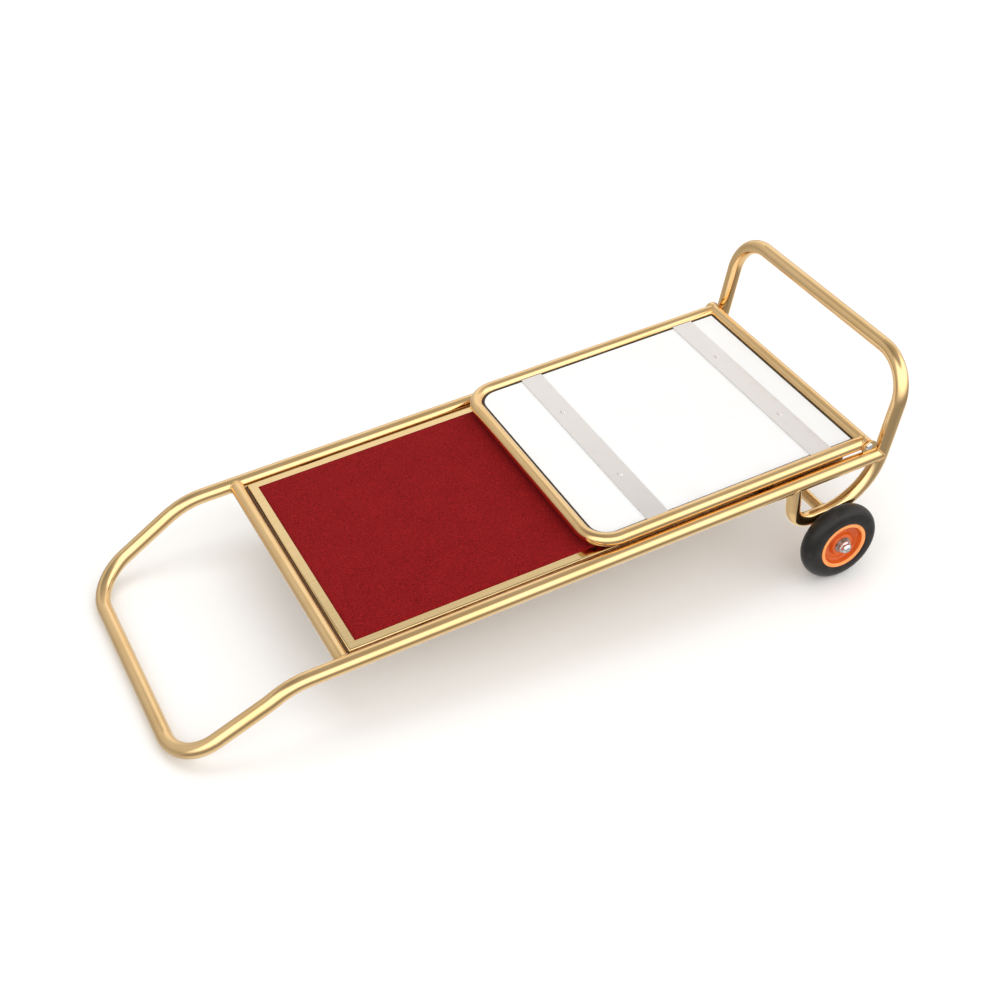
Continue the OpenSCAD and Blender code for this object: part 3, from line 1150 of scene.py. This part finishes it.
@dataclass
class EdgeBand:
    """A dark band round the platform board's edge, just proud of its face: painted contact shadow
    where the board meets the tubes.
    """

    rails: RailFrame
    material: bpy.types.Material
    width: float = 3.2
    proud: float = 0.35
    sunk: float = 1.0
    corner_r: float = 34.5
    steps: int = 12

    def outline(self, low: Vector, high: Vector, inset: float) -> Outline:
        """The board's outline, moved inwards.

        Args:
            low: The board's lowest corner along the cart's axes, in millimetres.
            high: The board's highest corner.
            inset: How far to move inwards, in millimetres.

        Returns:
            The outline's points.
        """
        r = self.corner_r - inset
        x0, x1, y0, y1 = low.x + inset, high.x - inset, low.y + inset, high.y - inset
        turn = [math.pi / 2 * k / self.steps for k in range(self.steps + 1)]
        first = [(x0 + r - r * math.sin(a), y0 + r - r * math.cos(a)) for a in turn]
        second = [(x0 + r - r * math.cos(a), y1 - r + r * math.sin(a)) for a in turn]
        return first + second + [(x1, y1), (x1, y0)]

    def build(self) -> bpy.types.Object:
        """Make the band.

        Returns:
            The band, riding on the platform.
        """
        low, high = (corner / MM for corner in extents_of("platform_board", self.rails))
        rings = [
            (0.0, -self.sunk), (0.0, self.proud * 0.6), (0.5, self.proud),
            (self.width - 0.4, self.proud), (self.width, 0.1), (self.width, -self.sunk),
        ]
        outlines = [(self.outline(low, high, inset), z) for inset, z in rings]
        rows = [[self.rails.point(x, y, high.z + z) for x, y in outline] for outline, z in outlines]
        mesh = grid_mesh("board_edge_band", rows, True, True)
        piece = add_object("board_edge_band", mesh, self.material)
        log.info("banded the board")
        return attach(piece, "platform")


@dataclass
class BackPanel:
    """The carpeted back panel with its trim, straps and rivets."""

    rails: RailFrame
    trim: bpy.types.Material
    trim_wall: bpy.types.Material
    felt: bpy.types.Material
    wood: bpy.types.Material
    steel: bpy.types.Material
    carpet: bpy.types.Material

    def build(self) -> None:
        """Dress the board and its metal, and lay the carpet."""
        BackTrim(self.rails, self.trim, self.trim_wall).build()
        # A dark strip in the gap under the trim: painted shade
        FeltStrip(self.rails, self.felt).build()
        dress("back_panel", self.wood)
        for node in ("back_strap_upper", "back_strap_lower", "back_rivets"):
            dress(node, self.steel)
        Carpet(
            "carpet_back", "back_carpet", "cart", self.rails, self.carpet, "back_panel",
            faces_out=True,
        ).build()


@dataclass
class Platform:
    """The folding load platform."""

    rails: RailFrame
    gold: bpy.types.Material
    weld: bpy.types.Material
    board: bpy.types.Material
    steel: bpy.types.Material
    carpet: bpy.types.Material
    bush: bpy.types.Material
    band: bpy.types.Material
    bead: float = 1.3
    sizes: CartSizes = field(default_factory=CartSizes)

    def build(self) -> None:
        """Dress the platform, weld its tubes to the hinge tube and lay the load carpet."""
        dress("platform_frame", self.gold)
        dress("hinge_tube", self.gold)
        dress("platform_board", self.board)
        for node in ("platform_strap_inner", "platform_strap_outer", "platform_rivets"):
            dress(node, self.steel)
        s, rails = self.sizes, self.rails
        for side in Side:
            dress(f"hinge_bush_{side.word}", self.bush)
            meeting = rails.point(s.hinge_x, side.value * s.platform_y, s.hinge_z)
            run, wall = rails.direction(-1, 0, 0), rails.direction(0, 1, 0)
            bead = WeldBead(
                f"weld_platform_{side.word}", "platform", meeting, run, s.platform_r,
                wall, s.platform_r, bead=self.bead,
            )
            bead.build(self.weld)
            log.info("laid %s", bead.name)
        # A dark band round the board's edge: painted contact shadow against the tubes
        EdgeBand(rails, self.band).build()
        Carpet(
            "carpet_platform", "platform_carpet", "platform", rails, self.carpet, "platform_board",
            faces_out=False,
        ).build()


@dataclass
class Wheel:
    """One wheel with its tyre, rim and bearing, its axle's fasteners and its side's hinge pin."""

    side: Side
    tyre: bpy.types.Material
    rim: bpy.types.Material
    web: bpy.types.Material
    bearing: bpy.types.Material
    bright: bpy.types.Material
    steel: bpy.types.Material
    tyre_r: float = 70.0
    tyre_half: float = 18.0
    rim_r: float = 43.0
    seat_r: float = 40.0
    bearing_r: float = 14.0
    lip_depth: float = 2.6
    crown_steps: int = 56
    crown_power: float = 0.62
    mould_lines: tuple[int, ...] = (11, 17, 28, 39, 45)
    mould_depth: float = 0.45

    def centre(self) -> Vector:
        """The wheel's middle, from its tyre's box."""
        low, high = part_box(f"tyre_{self.side.word}")
        return (Vector(low) + Vector(high)) / 2

    def tyre_outline(self) -> Outline:
        """The tyre's section: a full round crown with moulding lines, and a bead at the rim.

        Returns:
            The closed outline, as radius and distance from the middle.
        """
        half, bead = self.tyre_half - 0.4, self.rim_r + 3.0
        crown = []
        for k in range(self.crown_steps + 1):
            turn = math.pi * k / self.crown_steps
            rise = math.sin(turn) ** self.crown_power
            groove = self.mould_depth if k in self.mould_lines else 0.0
            crown.append((bead + (self.tyre_r - bead) * rise - groove, half * math.cos(turn)))
        lip = [
            (self.seat_r, half - 4.0), (self.rim_r - 0.1, half - 4.0),
            (self.rim_r + 0.1, half - 1.2), (self.rim_r + 1.2, half - 0.3),
        ]
        return lip + crown + [(r, -h) for r, h in reversed(lip)]

    def rim_outline(self) -> Outline:
        """The rim's section: rounded lips, dished webs and a raised boss round the bearing.

        Returns:
            The closed outline, as radius and distance from the middle.
        """
        half, lip_in = self.tyre_half - 0.5, self.rim_r - 6.0
        boss_r = self.bearing_r + 5.0
        face = [
            (self.seat_r, half - 4.0, 0.0), (self.rim_r, half - 4.0, 0.0), (self.rim_r, half, 1.6),
            (lip_in, half, 2.2), (lip_in - 3.0, 6.5, 3.0), (boss_r + 3.0, 6.0, 2.5),
            (boss_r, half - 4.0, 1.6), (self.bearing_r, half - 4.4, 0.8),
        ]
        return rounded(face + [(r, -h, c) for r, h, c in reversed(face)])

    def turned(self, kind: str, outline: Outline, material: bpy.types.Material) -> None:
        """Turn one piece of the wheel, which stands for its CAD node.

        Args:
            kind: The node's name without its side.
            outline: The closed outline.
            material: The piece's material.
        """
        word = self.side.word
        centre = self.centre()
        piece = lathe(f"{kind}_turned_{word}", outline, centre, Vector((0, 1, 0)), material)
        if kind == "rim":
            # Faces sunk deeper than the lip take the darker orange: painted shade in the rim's
            # recess
            piece.data.materials.append(self.web)
            for polygon in piece.data.polygons:
                depth = self.tyre_half - abs(polygon.center.y - centre.y) / MM
                polygon.material_index = 1 if depth > self.lip_depth else 0
        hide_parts(f"{kind}_{word}")
        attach(piece, f"wheel_{word}")
        log.info("turned %s", piece.name)

    def build(self) -> None:
        """Turn the tyre and the rim, and dress the rest."""
        word = self.side.word
        self.turned("tyre", self.tyre_outline(), self.tyre)
        self.turned("rim", self.rim_outline(), self.rim)
        dress(f"bearing_{word}", self.bearing)
        for node in ("axle_bolt", "axle_nut", "hinge_pin"):
            dress(f"{node}_{word}", self.bright)
        for node in ("axle_spacer", "axle_washer"):
            dress(f"{node}_{word}", self.steel)


# The studio


@dataclass(frozen=True)
class Softbox:
    """One soft lamp over the cart."""

    name: str
    place: Point
    target: Point
    size: tuple[float, float]
    power: float
    tint: Colour = (1.0, 1.0, 1.0)

    def hang(self) -> None:
        """Hang the lamp; the studio's walls do the reflections, so it only lights."""
        light = bpy.data.lights.new(self.name, "AREA")
        light.shape = "RECTANGLE"
        light.size, light.size_y = self.size
        light.energy, light.color = self.power, self.tint
        obj = bpy.data.objects.new(self.name, light)
        obj.location = self.place
        aim = Vector(self.place) - Vector(self.target)
        obj.rotation_euler = aim.to_track_quat("Z", "Y").to_euler()
        obj.visible_glossy = False
        obj.visible_camera = False
        bpy.context.scene.collection.objects.link(obj)


@dataclass
class Studio:
    """The floor, the walls of light, the lamps and the camera."""

    eye: Point = (-0.94362, -1.83900, 1.76986)
    right: Point = (0.892112, -0.451616, 0.013401)
    up: Point = (0.271000, 0.558589, 0.783924)
    back: Point = (-0.361518, -0.695716, 0.620712)
    lens: float = 58.2056
    sensor: float = 36.0
    nearest: float = 0.05
    farthest: float = 50.0
    floor_half: float = 9.0
    strength: float = 1.0
    # Level of light by the height of its direction, from straight down (-1) to straight up (1)
    front_levels: Levels = (
        (-1.0, 0.95), (-0.80, 0.90), (-0.62, 0.50), (-0.45, 0.34), (-0.22, 0.38), (-0.06, 0.70),
        (0.12, 1.40), (0.30, 1.90), (0.78, 1.85), (0.87, 0.80), (0.94, 0.48), (1.0, 0.48),
    )
    back_levels: Levels = (
        (-1.0, 0.95), (-0.60, 0.95), (-0.30, 0.80), (-0.05, 0.72), (0.15, 0.95), (0.45, 1.05),
        (0.60, 1.14), (0.66, 1.08), (0.72, 0.72), (0.80, 0.66), (0.92, 0.50), (1.0, 0.48),
    )
    left_dim: float = 0.66

    def build(self) -> None:
        """Set up the floor, the walls, the lamps and the camera."""
        self.floor()
        self.walls()
        Softbox(
            "top_softbox", place=(0.1, 0.5, 3.0), target=(0.0, 0.0, 0.1),
            size=(2.6, 1.6), power=26.0,
        ).hang()
        self.camera()
        bpy.context.scene.view_settings.view_transform = "Standard"

    def floor(self) -> None:
        """Lay the floor under the cart; the tubes mirror the studio's walls instead of it."""
        half = self.floor_half
        square = ((-half, -half), (half, -half), (half, half), (-half, half))
        corners = [Vector((x, y, 0.0)) for x, y in square]
        mesh = bpy.data.meshes.new("floor")
        mesh.from_pydata(corners, [], [(0, 1, 2, 3)])
        floor = add_object("floor", mesh, FloorFinish().build(), smooth=False)
        floor.visible_glossy = False

    def walls(self) -> None:
        """Surround the cart with a studio: a broad bright wall in front, a paler one behind."""
        world = bpy.data.worlds.new("studio")
        world.use_nodes = True
        bpy.context.scene.world = world
        g = Graph(world.node_tree)
        direction = g.node("ShaderNodeTexCoord").outputs["Generated"]
        split = g.node("ShaderNodeSeparateXYZ", {}, {0: direction})
        x, y, z = (Value(g, split.outputs[axis]) for axis in "XYZ")
        height = z * 0.5 + 0.5
        front = self.levels(g, height, self.front_levels)
        back = self.levels(g, height, self.back_levels)
        dim = (x * -1.0).ramp(-0.25, 0.35)
        back = g.mix(dim, back, self.scaled(g, back, self.left_dim))
        level = g.mix(y.ramp(-0.30, 0.15), front, back)
        background = world.node_tree.nodes["Background"]
        g.feed(background.inputs["Color"], level)
        g.feed(background.inputs["Strength"], self.strength)

    @staticmethod
    def levels(g: Graph, height: Value, levels: Levels) -> bpy.types.NodeSocket:
        """Levels of light by height, slightly warm.

        Args:
            g: The world's graph.
            height: The direction's height, from 0 to 1.
            levels: Height from -1 to 1, and its level.

        Returns:
            The colour's socket.
        """
        top = max(level for _, level in levels)
        warmth = (1.0, 0.985, 0.965)
        stops = [((z + 1) / 2, tuple(level / top * part for part in warmth)) for z, level in levels]
        ramp = g.node("ShaderNodeValToRGB", {"stops": stops}, {"Fac": height})
        return Studio.scaled(g, ramp.outputs["Color"], top)

    @staticmethod
    def scaled(g: Graph, colour: bpy.types.NodeSocket, by: float) -> bpy.types.NodeSocket:
        """A colour times a number.

        Args:
            g: The graph.
            colour: The colour's socket.
            by: The number.

        Returns:
            The scaled colour's socket.
        """
        node = g.node("ShaderNodeVectorMath", {"operation": "SCALE"}, {0: colour, "Scale": by})
        return node.outputs["Vector"]

    def camera(self) -> None:
        """Put the camera at its viewing angle."""
        data = bpy.data.cameras.new("camera")
        data.lens, data.sensor_width = self.lens, self.sensor
        data.clip_start, data.clip_end = self.nearest, self.farthest
        obj = bpy.data.objects.new("camera", data)
        turn = Matrix((self.right, self.up, self.back)).transposed()
        obj.matrix_world = Matrix.Translation(Vector(self.eye)) @ turn.to_4x4()
        bpy.context.scene.collection.objects.link(obj)
        bpy.context.scene.camera = obj


def main() -> None:
    """Build the studio and every sub-assembly, in order."""
    logging.basicConfig(level=logging.INFO, format="%(message)s")
    Studio().build()
    rails = RailFrame.from_record(frame["record"])
    gold, weld = GoldTubeFinish().build(), GOLD_WELD.build()
    steel, bright, carpet = SteelFinish().build(), BRIGHT_STEEL.build(), CarpetFinish().build()
    TubeFrame(rails, gold, weld).build()
    trim, trim_wall, felt = GoldTrimFinish().build(), TRIM_WALL_PAINTED_SHADE.build(), BROWN_GAP_SHADE.build()
    BackPanel(rails, trim, trim_wall, felt, BareBoardFinish().build(), steel, carpet).build()
    board, bush, band = WhiteBoardFinish().build(), BLACK_BUSH.build(), EdgeBandFinish().build()
    Platform(rails, gold, weld, board, steel, carpet, bush, band).build()
    tyre, bearing = TyreFinish().build(), BEARING_SHELL.build()
    # The lip's paler orange is painted light and the web's darker orange painted shade: lit and
    # shaded copies of one orange plastic
    rim = RimFinish(colour=(0.96, 0.330, 0.085), shade=(0.92, 0.270, 0.055)).build()
    web = RimFinish("orange_web", colour=(0.66, 0.110, 0.006), shade=(0.52, 0.075, 0.004)).build()
    for side in Side:
        Wheel(side, tyre, rim, web, bearing, bright, steel).build()


if __name__ == "__main__":
    main()
